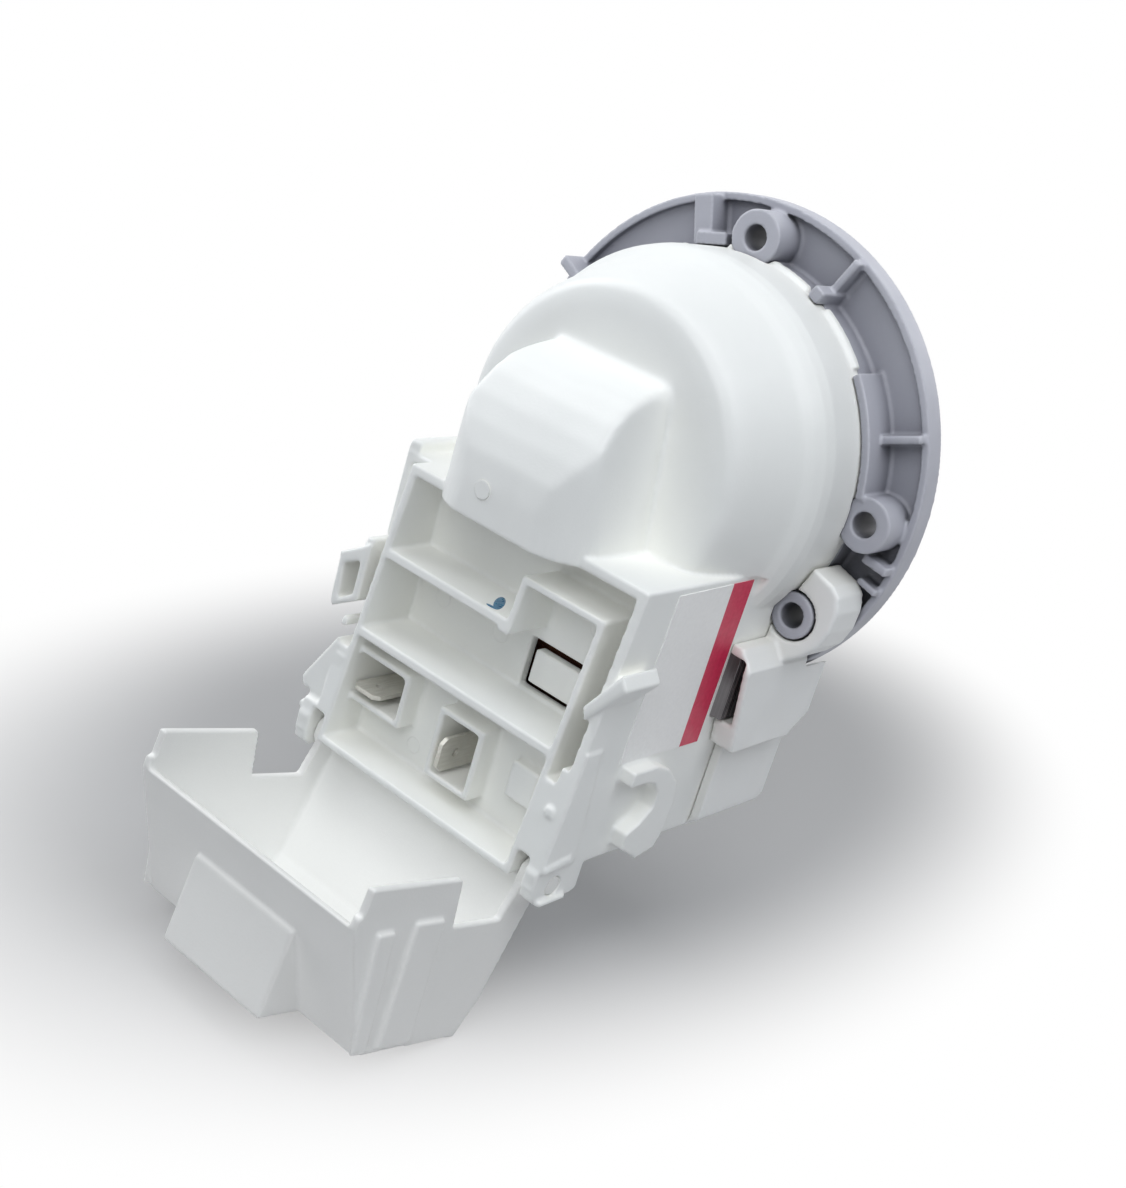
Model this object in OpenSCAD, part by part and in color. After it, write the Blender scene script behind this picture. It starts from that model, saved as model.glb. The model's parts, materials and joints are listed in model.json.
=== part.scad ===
// Drain pump of a washing machine: a synchronous wet-rotor motor in a white housing,
// a grey pump head with a round mounting ring, and a hinged cover over the terminals.
// The rotor turns about Y. The ring and the impeller look towards +Y, the motor lies at -Y,
// and the terminals are at the bottom. The origin is the centre of the ring's rear rim.

/* [Mounting ring] */
// Outer radius of the ring
ring_r = 44; // [43:0.5:46]
// Thickness of the ring's plate
ring_t = 2.6; // [2:0.1:4]
// Width of the raised lip round the ring
lip_w = 1.4; // [1:0.1:2.5]
// Height of the lip behind the plate
lip_h = 2; // [1:0.1:3]
// Radius of the circle that the screw holes lie on
screw_circle_r = 37.5; // [37:0.1:38.5]
// Radius of each screw hole
screw_hole_r = 2.25; // [1.8:0.05:2.6]
// Radius of the plain screw bosses
boss_r = 4.85; // [4.2:0.05:5.2]
// Height of the screw bosses behind the plate
boss_h = 7.5; // [6:0.5:9]
// Radius of the screw tubes that pass through the white lugs
tube_r = 4.15; // [3.4:0.05:4.3]
// Thickness of the radial ribs behind the ring
rib_t = 1.4; // [0.8:0.1:2]

/* [Rotor can] */
// Inner radius of the rotor can
can_r = 13.6; // [13.2:0.1:14.2]
// Wall of the rotor can
can_wall = 1.2; // [0.9:0.1:1.4]
// Depth of the can behind the ring's rim, down to its step
can_depth = 31; // [30.5:0.5:32]
// Depth of the rear bearing pocket behind the step
pocket_depth = 9; // [8.5:0.5:10]

/* [Pump side] */
// Outer radius of the spigot that enters the sump
spigot_r = 30.5; // [29:0.5:33]
// Length of the spigot in front of the plate
spigot_h = 6; // [5:0.5:8]
// Wall of the spigot
spigot_wall = 3.4; // [3:0.1:5]
// Thickness of the seal ring
seal_t = 2.6; // [2:0.1:3]

/* [Rotor] */
// Outer radius of the magnet
magnet_r = 12.6; // [12:0.1:12.9]
// Length of the magnet
magnet_len = 20; // [16:0.5:21]
// Wall of the magnet
magnet_wall = 5; // [3:0.5:6]
// Radius of the shaft
shaft_r = 2; // [1.5:0.1:2.5]
// Outer radius of the bearings
bearing_r = 5; // [4:0.1:5.4]
// Length of the bearings
bearing_len = 7; // [5:0.5:7.5]
// Wall of the rubber cups round the bearings
cup_wall = 1.8; // [1.2:0.1:2]
// Thickness of the thrust washers
washer_t = 0.8; // [0.5:0.1:1]

/* [Impeller] */
// Outer radius of the impeller
impeller_r = 20; // [16:0.5:23]
// Length of the blades along the shaft
blade_len = 11; // [8:0.5:14]
// Thickness of each blade
blade_t = 1.8; // [1.2:0.1:2.5]
// Number of blades
blade_count = 6; // [4:1:8]
// Outer radius of the hub
hub_r = 9.5; // [9:0.1:11]
// Wall of the hub
hub_wall = 1.6; // [1.2:0.1:2]
// Angle taken up by the drive dog, and by the key that it pushes
dog_angle = 80; // [50:5:85]

/* [Drum and hood] */
// Outer radius of the drum
drum_r = 34.4; // [34:0.1:35]
// Wall of the white mouldings
wall = 1.8; // [1.4:0.1:2.2]
// Depth of the drum behind the ring's rim
drum_depth = 35.2; // [34.5:0.1:37]
// Radius of the rear edge of the drum's tapered shoulder
shoulder_r = 28.4; // [28:0.1:29]
// Radius of the flat end of the drum
drum_end_r = 23.7; // [23:0.1:25]
// Half width of the hood
hood_half_w = 17; // [15:0.5:18]
// Half width of the hood's ridge
ridge_half_w = 13; // [11:0.5:14]
// Height of the hood's ridge above the rotor axis
ridge_z = 16; // [15:0.5:18]
// How far the hood reaches behind the ring's rim
hood_depth = 55; // [54:0.5:57]

/* [Box] */
// Half width of the box
box_half_w = 29; // [28.5:0.1:30]
// Height of the box's top below the rotor axis
box_top = 11.6; // [11:0.1:12.5]
// Height of the motor box's bottom below the rotor axis
box_bottom = 61.2; // [61:0.1:62]
// Height of the terminal bay's bottom below the rotor axis
bay_low = 62.5; // [62.3:0.1:62.8]
// Distance of the terminal bay's floor behind the ring's rim
low_floor = 47.5; // [46.5:0.1:48]
// Distance of the upper bays' floor behind the ring's rim
bay_floor = 41.5; // [41:0.1:43]
// Thickness of the bay floor
floor_t = 2.2; // [1.6:0.1:2.6]
// Half width inside the bays
bay_half_w = 22.2; // [21.5:0.1:22.4]
// Wall of the bays
bay_wall = 1.2; // [1:0.1:1.3]
// Height of the shelf between the two bays below the axis
shelf_z = 41.8; // [41:0.1:43]
// Distance of the rear rim behind the ring's rim, at the height of the axis
rim_depth = 48.7; // [48:0.1:50]
// Slope of the rear rim
rim_slope = 0.12; // [0.08:0.01:0.14]

/* [Terminals] */
// Width of a tab
tab_w = 6.3; // [4.8:0.1:6.3]
// Thickness of a tab
tab_t = 0.8; // [0.5:0.1:1]
// Distance of a tab's tip behind the upper bays' floor
tab_free = 11.1; // [10.4:0.1:11.4]
// Sideways place of the flat tab
flat_x = -18.7; // [-18.8:0.1:-18]
// Height of the flat tab
flat_z = -52.6; // [-53:0.1:-52]
// Sideways place of the upright tab
upright_x = 0.6; // [0.2:0.1:1.4]
// Height of the upright tab
upright_z = -54.8; // [-55:0.1:-54.2]
// Width inside the flat tab's collar
flat_collar_w = 11.1; // [10.6:0.1:11.3]
// Height inside the flat tab's collar
flat_collar_h = 8; // [7.4:0.1:8.4]
// Width inside the upright tab's collar
upright_collar_w = 8.2; // [7.6:0.1:8.6]
// Height inside the upright tab's collar
upright_collar_h = 10.8; // [10.6:0.1:11]
// Wall of a collar
collar_wall = 1.1; // [0.9:0.1:1.3]

/* [Terminal cover] */
// Distance of the hinge behind the ring's rim
hinge_depth = 51; // [50:0.1:52]
// Height of the hinge below the rotor axis
hinge_drop = 64; // [63.5:0.1:64.5]
// Angle of the open cover below the closed one
open_angle = 86; // [80:1:90]
// Radius of the hinge pins
pin_r = 1.75; // [1.4:0.05:2]
// Length of the cover from the hinge to its free edge
cover_len = 41.5; // [40:0.5:43]
// Depth of the cover
cover_depth = 29.8; // [28:0.1:31]
// Wall of the cover
cover_wall = 1.4; // [1.1:0.1:1.5]

/* [Motor core] */
// Thickness of the lamination stack
stack_t = 18; // [14:0.5:19]
// Radius of the pole head
pole_r = 26; // [24:0.5:26.5]
// Width of each side limb
limb_w = 10; // [8:0.5:11]
// Height of the bar that carries the coil
bar_h = 11; // [9:0.5:12]
// Height of the bar's middle below the axis
bar_z = 46; // [45.8:0.1:46.2]
// Depth of the winding on the bobbin
winding_h = 5.4; // [4:0.1:5.6]

/* [Fits] */
// Running clearance, on the radius, of shafts and hinge pins
run_gap = 0.06; // [0.02:0.01:0.1]
// Clearance between fixed pieces that slide together
slip_gap = 0.2; // [0.1:0.05:0.3]
// Clearance between a moving and a fixed piece
free_gap = 0.5; // [0.4:0.05:0.6]

/* [Hidden] */

$fn = 72;
small = 0.01;
through = 100;

// Places along the rotor axis
plate_y = lip_h;
plate_front = plate_y + ring_t;
boss_face = plate_y - boss_h;
tube_face = boss_face - 4;
drum_front = -3;
seat_w = 3;
can_out_r = can_r + can_wall;
can_floor = -can_depth;
pocket_floor = can_floor - pocket_depth;
cup_r = bearing_r + cup_wall;
press_gap = 0.05;
hole_angles = [90, 210, 330];
spare_angles = [0, 180];

// Rotor pieces
stack_mid = -19;
magnet_rear = stack_mid - magnet_len / 2;
magnet_front = stack_mid + magnet_len / 2;
rim_t = 1;
rear_bearing_front = pocket_floor + 0.8 + bearing_len;
rear_washer_front = rear_bearing_front + 0.1 + washer_t;
front_bearing_rear = -4.5;
front_washer_rear = front_bearing_rear - 0.1 - washer_t;
sleeve_hub_r = 5;

// Impeller pieces
carrier_flange_t = 2;
carrier_flange_w = 5;
impeller_rear = plate_front + carrier_flange_t + free_gap + 0.3;
chamber_rear = impeller_rear + hub_wall;
chamber_len = 8;
chamber_front = chamber_rear + chamber_len;
chamber_r = hub_r - hub_wall;
cap_front = chamber_front + hub_wall;
shaft_front = chamber_front + hub_wall - 0.6;
cap_r = hub_r - 1.1;

// Drum, hood and box
taper_start = -14;
inner_drum_r = drum_r - wall;
box_front = -14;
inner_box_w = box_half_w - wall;
top_z = -box_top;
bottom_z = -box_bottom;
floor_rear = -bay_floor;
floor_front = floor_rear + floor_t;
bay_out = bay_half_w + bay_wall;
bay_bottom = -bay_low;
bay_under = bay_bottom - 1.4;
low_floor_rear = -low_floor;
low_floor_front = low_floor_rear + bay_wall + 0.6;
front_bottom = bottom_z + 1.2;
step_y = -44.5;
flat_collar = [-bay_half_w + flat_collar_w / 2, flat_z + 2.1];
upright_collar = [upright_x + 2.4, upright_z + 1.5];
lug_r = 7.2;
lug_rear = tube_face;
lug_front = -0.5;
scallop_t = 1;

// Motor core
stack_rear = stack_mid - stack_t / 2;
stack_front = stack_mid + stack_t / 2;
core_out = inner_box_w - slip_gap;
limb_in = core_out - limb_w;
core_top = top_z - wall - slip_gap;
bore_r = can_out_r + 2 * slip_gap;
bobbin_t = 1;
flange_t = 1.4;
wound_y = stack_t / 2 + slip_gap + bobbin_t;
wound_z = bar_h / 2 + slip_gap + bobbin_t;
flange_y = wound_y + winding_h + 0.3;
flange_z = wound_z + winding_h + 0.3;
bobbin_out = limb_in - slip_gap;
block_rear = floor_front + 0.4;
block_front = stack_mid - flange_y;
tab_tip = floor_rear - tab_free;
collar_rear = -52;

// Terminal cover, drawn open: u runs from the hinge to the free edge and w into its depth
hinge_y = -hinge_depth;
hinge_z = -hinge_drop;
open_tilt = 90 - open_angle + atan(rim_slope);
cover_out = bay_out + free_gap - 0.1 + cover_wall;
arm_r = 3.4;
pin_out = box_half_w - 0.1;

// Rear rim of the box at a height
function rim_y(z) = -rim_depth + rim_slope * z;
// Points of an arc, from one angle to another
function arc(cx, cy, r, a0, a1, n = 10) = [for (i = [0:n]) let (a = a0 + (a1 - a0) * i / n) [cx + r * cos(a), cy + r * sin(a)]];

// A box between two corners
module block(x, y, z) {
    translate([x[0], y[0], z[0]]) cube([x[1] - x[0], y[1] - y[0], z[1] - z[0]]);
}

// A cylinder along Y at a place in the XZ plane
module rod_y(r, y0, y1, x = 0, z = 0) {
    translate([x, y0, z]) rotate([-90, 0, 0]) cylinder(r = r, h = y1 - y0);
}

// A cylinder along X at a place in the YZ plane
module rod_x(r, x0, x1, y = 0, z = 0) {
    translate([x0, y, z]) rotate([0, 90, 0]) cylinder(r = r, h = x1 - x0);
}

// A shape drawn in XZ and drawn out along Y
module along_y(y0, y1) {
    translate([0, y1, 0]) rotate([90, 0, 0]) linear_extrude(y1 - y0) children();
}

// A shape drawn in YZ and drawn out along X
module along_x(x0, x1) {
    translate([x0, 0, 0]) rotate([90, 0, 90]) linear_extrude(x1 - x0) children();
}

// A shape drawn in XY and drawn out along Z
module along_z(z0, z1) {
    translate([0, 0, z0]) linear_extrude(z1 - z0) children();
}

// A profile of radius and Y turned round the rotor axis
module turned(points) {
    rotate([-90, 0, 0]) rotate_extrude() polygon(points);
}

// A tube round the rotor axis
module tube_y(r_in, r_out, y0, y1) {
    turned([[r_in, y0], [r_out, y0], [r_out, y1], [r_in, y1]]);
}

// Children set on the screw circle at an angle
module on_circle(a) {
    translate([screw_circle_r * cos(a), 0, screw_circle_r * sin(a)]) children();
}

// A flat sector with its middle at an angle
module sector(r0, r1, mid, width) {
    polygon(concat(arc(0, 0, r1, mid - width / 2, mid + width / 2, 16),
                   arc(0, 0, r0, mid + width / 2, mid - width / 2, 16)));
}

// A rectangle with round corners
module round_rect(half_x, half_y, r) {
    square([2 * half_x - 2 * r, 2 * half_y], center = true);
    square([2 * half_x, 2 * half_y - 2 * r], center = true);
    for (sx = [-1, 1]) for (sy = [-1, 1])
        translate([sx * (half_x - r), sy * (half_y - r)]) circle(r);
}

// A radial rib behind the ring's plate
module ring_rib(a, t, y_rear, r0, r1) {
    rotate([0, -a, 0]) block([r0, r1], [y_rear, plate_y + small], [-t / 2, t / 2]);
}

// Grey moulding: ring, screw bosses, spigot for the sump and the can that the rotor turns in
groove_r = spigot_r + 1.2;
groove_w = seal_t + 0.2;
groove_y = plate_front - 2.1;
module pump_head() {
    color([0.42, 0.43, 0.48])
    difference() {
        union() {
            rod_y(ring_r, plate_y, plate_front);
            tube_y(ring_r - lip_w, ring_r, 0, plate_front);
            tube_y(drum_r - seat_w, drum_r, drum_front, plate_y + small);
            rod_y(can_out_r, can_floor - can_wall, plate_y + small);
            rod_y(cup_r + can_wall, pocket_floor - can_wall, can_floor);
            tube_y(spigot_r - spigot_wall, spigot_r, plate_front - small, plate_front + spigot_h);
            for (a = spare_angles) on_circle(a) rod_y(boss_r, boss_face, plate_y + small);
            on_circle(hole_angles[0]) rod_y(boss_r, boss_face, plate_y + small);
            for (a = [hole_angles[1], hole_angles[2]]) on_circle(a) rod_y(tube_r, tube_face, plate_y + small);
            for (a = [22, 65]) ring_rib(a, rib_t, -2, drum_r - 0.5, ring_r - 0.5);
            ring_rib(65, rib_t + 1, drum_front - 3, drum_r + slip_gap, drum_r + 2.6);
            ring_rib(152, rib_t + 0.6, drum_front - 2, drum_r + 3, ring_r + 0.4);
            ring_rib(109, 3.8, drum_front - 0.5, drum_r + slip_gap, ring_r - 0.5);
            ring_rib(105, 6.4, drum_front - 1.5, drum_r + slip_gap, drum_r + 2.4);
            for (s = [-1, 1]) scale_x(s)
                along_y(-6, plate_y + small) sector(drum_r + slip_gap, drum_r + slip_gap + 1.5, 23, 34);
            for (s = [-1, 1]) scale_x(s) ring_rib(-9, 1.6, -2.6, drum_r + 4, ring_r - 0.5);
            for (s = [-1, 1]) scale_x(s) ring_rib(-15, 1.2, -1.6, drum_r + 5, ring_r - 0.5);
        }
        rod_y(can_r, can_floor, through);
        rod_y(cup_r + press_gap, pocket_floor, can_floor + small);
        for (a = concat(hole_angles, spare_angles)) on_circle(a) rod_y(screw_hole_r, -through, through);
        tube_y(groove_r, groove_r + groove_w, groove_y, plate_front + 1);
    }
}

// Rubber seal in the groove of the ring's face, drawn pressed flush as in use
module head_seal() {
    r0 = groove_r + press_gap;
    r1 = groove_r + groove_w - press_gap;
    y0 = groove_y + press_gap;
    y1 = plate_front - press_gap;
    color([0.12, 0.12, 0.13])
    turned([[r0 + 0.6, y0], [r1 - 0.6, y0], [r1, y0 + 0.6], [r1, y1 - 0.6],
            [r1 - 0.6, y1], [r0 + 0.6, y1], [r0, y1 - 0.6], [r0, y0 + 0.6]]);
}

// Plug that closes the can and carries the front bearing
module bearing_carrier() {
    color([0.3, 0.31, 0.34])
    turned([[cup_r + press_gap, front_bearing_rear], [can_r - press_gap, front_bearing_rear],
            [can_r - press_gap, plate_front + press_gap],
            [can_r + carrier_flange_w, plate_front + press_gap],
            [can_r + carrier_flange_w, plate_front + carrier_flange_t - 0.8],
            [can_r + carrier_flange_w - 0.8, plate_front + carrier_flange_t],
            [shaft_r + free_gap, plate_front + carrier_flange_t],
            [shaft_r + free_gap, front_bearing_rear + bearing_len + 0.3],
            [cup_r + press_gap, front_bearing_rear + bearing_len + 0.3]]);
}

// Plain bearing bush, chamfered at both ends
module bush(y0) {
    turned([[shaft_r + run_gap, y0], [bearing_r - 0.5, y0], [bearing_r, y0 + 0.5],
            [bearing_r, y0 + bearing_len - 0.5], [bearing_r - 0.5, y0 + bearing_len],
            [shaft_r + run_gap, y0 + bearing_len]]);
}

module front_bearing() {
    color([0.75, 0.73, 0.68]) bush(front_bearing_rear);
}

module rear_bearing() {
    color([0.75, 0.73, 0.68]) bush(rear_bearing_front - bearing_len);
}

// Ribbed rubber sleeve that lets a bearing align itself
module rubber_cup(y0) {
    turned([[bearing_r + press_gap, y0], [cup_r - 0.4, y0], [cup_r, y0 + 0.6], [cup_r, y0 + 2],
            [cup_r - 0.5, y0 + 2.5], [cup_r - 0.5, y0 + bearing_len - 2.5], [cup_r, y0 + bearing_len - 2],
            [cup_r, y0 + bearing_len - 0.6], [cup_r - 0.4, y0 + bearing_len],
            [bearing_r + press_gap, y0 + bearing_len]]);
}

module front_cup() {
    color([0.15, 0.15, 0.16]) rubber_cup(front_bearing_rear);
}

module rear_cup() {
    color([0.15, 0.15, 0.16]) rubber_cup(rear_bearing_front - bearing_len);
}

// Steel shaft with chamfered ends
module rotor_shaft() {
    y0 = rear_bearing_front - bearing_len + 0.3;
    color([0.8, 0.81, 0.83])
    turned([[0, y0], [shaft_r - 0.4, y0], [shaft_r, y0 + 0.4], [shaft_r, shaft_front - 0.4],
            [shaft_r - 0.4, shaft_front], [0, shaft_front]]);
}

// Ferrite magnet
module rotor_magnet() {
    color([0.2, 0.2, 0.21])
    tube_y(magnet_r - magnet_wall, magnet_r, magnet_rear, magnet_front);
}

// Plastic sleeve that carries the magnet on the shaft
module rotor_sleeve() {
    core_r = magnet_r - magnet_wall - press_gap;
    color([0.85, 0.84, 0.78])
    turned([[shaft_r + press_gap, rear_washer_front + 0.1], [sleeve_hub_r, rear_washer_front + 0.1],
            [sleeve_hub_r, magnet_rear - rim_t], [magnet_r - 0.6, magnet_rear - rim_t],
            [magnet_r, magnet_rear - press_gap], [core_r, magnet_rear - press_gap],
            [core_r, magnet_front + press_gap], [magnet_r, magnet_front + press_gap],
            [magnet_r - 0.6, magnet_front + rim_t], [sleeve_hub_r, magnet_front + rim_t],
            [sleeve_hub_r, front_washer_rear - 0.1], [shaft_r + press_gap, front_washer_rear - 0.1]]);
}

module front_washer() {
    color([0.9, 0.9, 0.88]) tube_y(shaft_r + press_gap, sleeve_hub_r, front_washer_rear, front_washer_rear + washer_t);
}

module rear_washer() {
    color([0.9, 0.9, 0.88]) tube_y(shaft_r + press_gap, sleeve_hub_r, rear_washer_front - washer_t, rear_washer_front);
}

// Dog pressed on the shaft: it drives the impeller after part of a free turn
dog_hub_r = shaft_r + 2.4;
module drive_dog() {
    color([0.86, 0.86, 0.84])
    difference() {
        along_y(chamber_rear + 0.2, chamber_front - 0.2) {
            circle(dog_hub_r);
            sector(dog_hub_r - 0.5, chamber_r - 0.4, 90, dog_angle);
        }
        rod_y(shaft_r + press_gap, -through, through);
    }
}

// Impeller with straight blades, so that it pumps in either direction of rotation
module impeller() {
    color([0.8, 0.82, 0.84]) {
        difference() {
            union() {
                rod_y(hub_r, impeller_rear, chamber_front);
                rod_y(impeller_r * 0.7, impeller_rear, impeller_rear + 1.2);
                for (i = [0:blade_count - 1]) rotate([0, i * 360 / blade_count, 0])
                    along_y(impeller_rear, impeller_rear + blade_len) {
                        translate([hub_r - 1, -blade_t / 2]) square([impeller_r - hub_r + 1 - blade_t / 2, blade_t]);
                        translate([impeller_r - blade_t / 2, 0]) circle(blade_t / 2, $fn = 24);
                    }
            }
            rod_y(chamber_r, chamber_rear, through);
            rod_y(shaft_r + run_gap, -through, through);
        }
        along_y(chamber_rear - small, chamber_front)
            sector(dog_hub_r + 0.4, chamber_r + small, 270, dog_angle);
    }
}

// Cap welded on the hub over the dog
module impeller_cap() {
    color([0.8, 0.82, 0.84])
    turned([[shaft_r + 0.3, chamber_front], [cap_r, chamber_front], [cap_r, cap_front - 0.4],
            [cap_r - 1.6, cap_front + 0.8], [0, cap_front + 2], [0, shaft_front + 0.4], [shaft_r + 0.3, shaft_front + 0.4]]);
}

// Laminated core: pole head round the can and two limbs down to the coil bar
module stator_core() {
    color([0.5, 0.5, 0.52]) {
    for (s = [-1, 1]) scale_x(s) block([core_out - small, box_half_w + 1.8], [-18.8, -12.6], [-38.3, -26.2]);
    along_y(stack_rear, stack_front) difference() {
        union() {
            circle(pole_r);
            for (s = [-1, 1]) translate([s > 0 ? limb_in : -core_out, -bar_z - bar_h / 2])
                square([limb_w, core_top + bar_z + bar_h / 2]);
            translate([-core_out, core_top - 9]) square([2 * core_out, 9]);
        }
        circle(bore_r);
        for (s = [-1, 1]) translate([-1.5, s > 0 ? 0 : 1.5 - pole_r]) square([3, pole_r - 1.5]);
    }
    }
}

// Lamination bar through the coil
module core_bar() {
    color([0.52, 0.52, 0.54])
    block([press_gap - limb_in, limb_in - press_gap], [stack_rear, stack_front],
          [-bar_z - bar_h / 2, -bar_z + bar_h / 2]);
}

// Bobbin with its flanges and the block that holds the tabs
module coil_bobbin() {
    color([0.9, 0.88, 0.8])
    difference() {
        union() {
            translate([0, stack_mid, -bar_z]) rotate([90, 0, 90]) {
                linear_extrude(2 * bobbin_out, center = true)
                    square([2 * wound_y, 2 * wound_z], center = true);
                for (s = [-1, 1]) translate([0, 0, s * (bobbin_out - flange_t / 2)])
                    linear_extrude(flange_t, center = true) round_rect(flange_y, flange_z, 2);
            }
            block([flat_x - tab_w / 2 - 1.5, upright_x + 3], [block_rear, block_front + small],
                  [upright_z - tab_w / 2 - 0.6, flat_z + 3]);
        }
        block([-through, through], [stack_rear - slip_gap, stack_front + slip_gap],
              [-bar_z - bar_h / 2 - slip_gap, -bar_z + bar_h / 2 + slip_gap]);
        tab_blank(flat_x, flat_z, tab_w + 2 * press_gap, tab_t + 2 * press_gap, block_rear - 1, block_front - 0.4);
        tab_blank(upright_x, upright_z, tab_t + 2 * press_gap, tab_w + 2 * press_gap, block_rear - 1, block_front - 0.4);
    }
}

// Enamelled winding
module coil_winding() {
    half = bobbin_out - flange_t - press_gap;
    color([0.62, 0.32, 0.16])
    translate([0, stack_mid, -bar_z]) rotate([90, 0, 90]) difference() {
        linear_extrude(2 * half, center = true) round_rect(wound_y + winding_h, wound_z + winding_h, 2.5);
        linear_extrude(3 * half, center = true)
            square([2 * wound_y + 2 * press_gap, 2 * wound_z + 2 * press_gap], center = true);
    }
}

// Thermal cut-out lying on the winding
module thermal_cutout() {
    z0 = -bar_z + wound_z + winding_h + press_gap;
    color([0.85, 0.85, 0.82]) translate([0, stack_mid, z0 + 1.6]) rotate([90, 0, 90])
        linear_extrude(11, center = true) round_rect(3, 1.6, 1);
}

// Straight blank at a tab's place
module tab_blank(x, z, w, h, y0, y1) {
    block([x - w / 2, x + w / 2], [y0, y1], [z - h / 2, z + h / 2]);
}

// Quick-connect tab, drawn flat at the origin, with a chamfered tip and a dimple hole
module tab() {
    root = block_front - 0.5;
    difference() {
        along_z(-tab_t / 2, tab_t / 2) polygon([[-tab_w / 2, root], [-tab_w / 2, tab_tip + 1.2],
            [-tab_w / 2 + 1, tab_tip], [tab_w / 2 - 1, tab_tip], [tab_w / 2, tab_tip + 1.2], [tab_w / 2, root]]);
        translate([0, tab_tip + 4, -tab_t]) cylinder(r = 0.8, h = 2 * tab_t, $fn = 24);
    }
}

module tab_flat() {
    color([0.72, 0.71, 0.68]) translate([flat_x, 0, flat_z]) tab();
}

module tab_upright() {
    color([0.72, 0.71, 0.68]) translate([upright_x, 0, upright_z]) rotate([0, 90, 0]) tab();
}

// Points of the drum's half profile, set in by an amount
function drum_points(d, front) = [[0, front], [drum_r - d, front], [drum_r - d, taper_start],
    [drum_r - 0.3 - d, taper_start - 2.4], [drum_r - 1.2 - d, taper_start - 4.6], [drum_r - 2.4 - d, taper_start - 6.4],
    [shoulder_r + 2.4 - d, taper_start - 10.4], [shoulder_r + 0.9 - d, 5.6 - drum_depth], [shoulder_r - d, 2.9 - drum_depth],
    [shoulder_r - 0.7 - d, 1.5 - drum_depth + d / 2], [shoulder_r - 2 - d, 0.5 - drum_depth + 0.8 * d],
    [drum_end_r - d, d - drum_depth], [0, d - drum_depth]];

// Hood behind the drum, set in by an amount
hood_bottom = top_z - 1.9;
hood_front = -20;
module hood(d) {
    intersection() {
        along_x(-30, 30) polygon([[hood_front, ridge_z - d], [2 - drum_depth, ridge_z - d], [-39, ridge_z - 1.6 - d],
            [-43.2, ridge_z - 2.9 - d], [d / 2 - 46.2, ridge_z - 4.2 - d], [d * 0.7 - 49, ridge_z - 6.8 - d * 0.7],
            [d * 0.8 - 51.4, ridge_z - 10.2 - d / 2], [d - 53.4, ridge_z - 14.2 - d / 3], [d - 54.8, ridge_z - 18.4],
            [d - 0.2 - hood_depth, ridge_z - 23], [d - hood_depth, hood_bottom + d], [hood_front, hood_bottom + d]]);
        along_z(-30, 30) polygon(concat([[hood_half_w - d, hood_front]],
            arc(hood_half_w - 11, 11 - hood_depth - 0.3, 11 - d, 0, -90), arc(11 - hood_half_w, 11 - hood_depth - 0.3, 11 - d, -90, -180),
            [[d - hood_half_w, hood_front]]));
        along_y(-70, hood_front) polygon(concat([[hood_half_w - d, hood_bottom - 1]],
            arc(ridge_half_w - 4.5, ridge_z - 4.3, 4.5 - d, 10, 90, 8), arc(4.5 - ridge_half_w, ridge_z - 4.3, 4.5 - d, 90, 170, 8),
            [[d - hood_half_w, hood_bottom - 1]]));
    }
}

// Walls of the bays at the back, as they stand in XZ
recess_z = top_z - 15.2;
slot_in = bay_out;
slot_out = bay_out + 2.2;
module bay_walls() {
    translate([-bay_out - 3.4, shelf_z_low]) square([2 * bay_out + 3.4, bay_wall + 0.4]);
    translate([-bay_out, bay_under]) square([bay_wall, recess_z - bay_under]);
    translate([bay_half_w, bay_under]) square([bay_wall, inner_top - bay_under]);
    translate([-bay_out, bay_under]) square([2 * bay_out, bay_bottom - bay_under]);
    translate([-inner_box_w - small, recess_z - 1.6]) square([inner_box_w + 7, 1.6]);
    translate([4.6, recess_z - 2.4]) square([2.4, 1]);
    translate([5.8, recess_z - 1.6]) square([1.2, inner_top - recess_z + 1.6]);
    translate([5.8, inner_top - 1.2]) square([bay_out - 5.8, 1.2]);
    translate([-bay_out, recess_z - small]) square([1.5, top_z - recess_z - 1]);
}
shelf_z_low = -shelf_z - bay_wall;
inner_top = recess_z + 7.8;

// Collar round a tab, or the room inside it, with its middle at a place in XZ
module collar(at, w, h, t, y0, y1) {
    block([at[0] - w / 2 - t, at[0] + w / 2 + t], [y0, y1], [at[1] - h / 2 - t, at[1] + h / 2 + t]);
}

module collars(t, y0, y1) {
    collar(flat_collar, flat_collar_w, flat_collar_h, t, y0, y1);
    collar(upright_collar, upright_collar_w, upright_collar_h, t, y0, y1);
}

// Side profile of the box, open at the front
module box_side() {
    polygon([[box_front, bottom_z], [step_y, bottom_z], [step_y - 0.4, bay_under - 1.4], [rim_y(bay_under) + 2, bay_under - 1.4],
             [rim_y(bay_under), bay_under], [rim_y(top_z), top_z], [drum_front - press_gap, top_z],
             [drum_front - press_gap, front_bottom], [box_front, front_bottom]]);
}

// Places where the box's flat sides cut into the drum
module side_cut(d) {
    for (s = [-1, 1]) scale_x(s) block([box_half_w - d, 60], [-60, d - 18.6], [-60, top_z + d]);
}

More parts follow.
